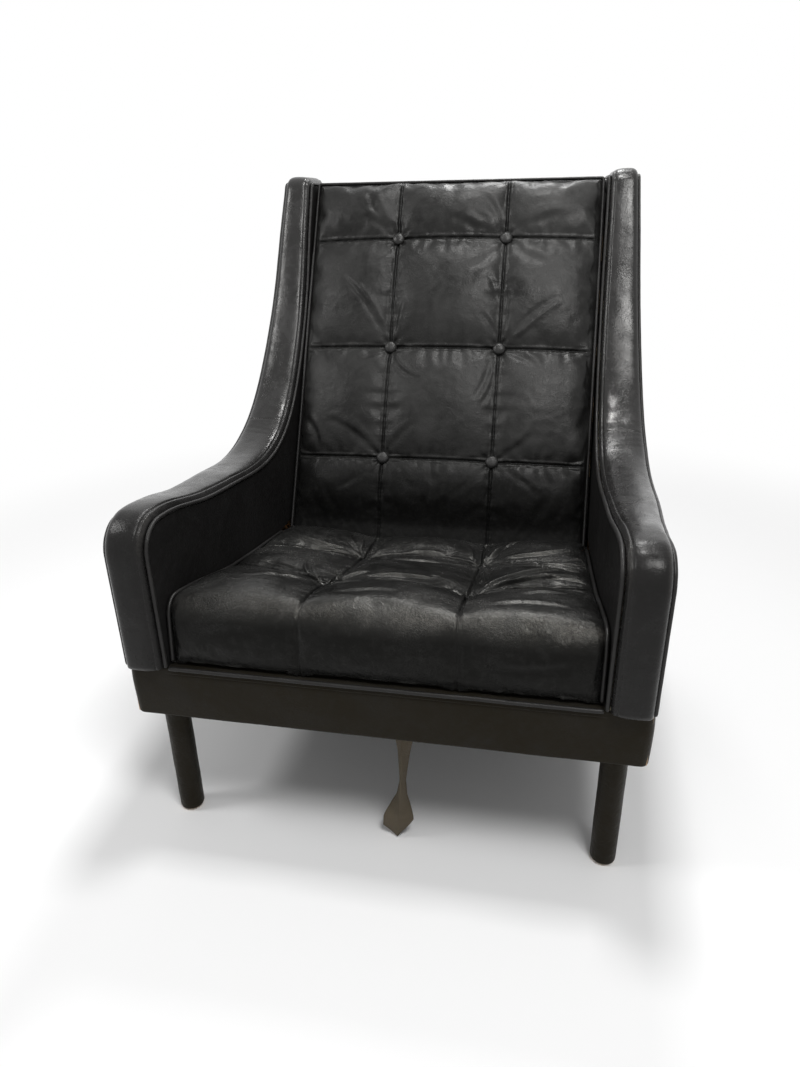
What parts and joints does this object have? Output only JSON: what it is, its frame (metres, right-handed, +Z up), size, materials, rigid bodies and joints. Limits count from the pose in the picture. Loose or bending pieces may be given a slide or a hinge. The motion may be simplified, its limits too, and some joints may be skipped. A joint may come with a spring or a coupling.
{
  "type": "lounge chair",
  "caption": "High-backed leather lounge chair with padded winged sides, a leather-wrapped rail base, straight round legs and loose piped seat and back cushions.",
  "frame": {"origin": "on the floor, in the middle of the chair's overall width and depth", "axes": "+X to the sitter's left-hand side as seen from the front on the viewer's right, +Y to the back, +Z up"},
  "size_m": [0.7776, 0.9499, 0.938],
  "materials": {
    "leather": "semi-gloss, worn, slightly warm black",
    "cushion_leather": "glossier, creased, cool black",
    "piping": "worn to grey on the raised line",
    "leg_leather": "stretched tight, satin",
    "button_leather": "satin",
    "beech": "sawn, unfinished",
    "jute_webbing": "woven, matte",
    "strap_webbing": "woven, matte grey",
    "stuffing": "soft stuffing, matte",
    "lining_cloth": "plain woven, matte black",
    "thread": "waxed thread",
    "bolt_steel": "zinc plated",
    "glide": "pale tan, matte"
  },
  "bodies": {
    "chair": {"arm_band_left": "leather", "arm_band_right": "leather", "back_cleat_left": "beech", "back_cleat_right": "beech", "back_low_rail": "beech", "back_top_rail": "beech", "back_top_roll": "leather", "back_webbing": "jute_webbing", "base_cover": "leather", "corner_blocks": "beech", "dust_cover": "lining_cloth", "frame_bolts_left": "bolt_steel", "frame_bolts_right": "bolt_steel", "front_rail": "beech", "front_rail_piping": "piping", "hanging_strap": "strap_webbing", "inner_side_panel_left": "leather", "inner_side_panel_right": "leather", "inner_side_piping_left": "piping", "inner_side_piping_right": "piping", "leg_bolts": "bolt_steel", "leg_front_left": "beech", "leg_front_right": "beech", "leg_glides": "glide", "leg_rear_left": "beech", "leg_rear_right": "beech", "leg_sleeve_front_left": "leg_leather", "leg_sleeve_front_right": "leg_leather", "leg_sleeve_rear_left": "leg_leather", "leg_sleeve_rear_right": "leg_leather", "outer_side_panel_left": "leather", "outer_side_panel_right": "leather", "outer_side_piping_left": "piping", "outer_side_piping_right": "piping", "outside_back": "leather", "rear_rail": "beech", "seat_deck": "lining_cloth", "seat_front_cleat": "beech", "seat_rear_rail": "beech", "seat_side_cleat_left": "beech", "seat_side_cleat_right": "beech", "seat_webbing_cross": "jute_webbing", "seat_webbing_lengthwise": "jute_webbing", "side_frame_left": "beech", "side_frame_right": "beech", "side_padding_left": "stuffing", "side_padding_right": "stuffing", "side_rail_left": "beech", "side_rail_right": "beech"},
    "seat": {"seat_cushion": "cushion_leather", "seat_cushion_foam": "stuffing", "seat_cushion_piping": "piping", "seat_tuft_knots": "thread"},
    "back": {"back_cushion": "cushion_leather", "back_cushion_foam": "stuffing", "back_cushion_piping": "piping", "back_buttons": "button_leather"}
  },
  "joints": [
    {"name": "seat_cushion_slide", "type": "slide", "parent": "chair", "child": "seat", "axis": [0, -0.9931, 0.1172], "range_m": [0, 0.6]},
    {"name": "back_cushion_slide", "type": "slide", "parent": "chair", "child": "back", "axis": [0, 0.4726, 0.8813], "range_m": [0, 0.78]}
  ]
}
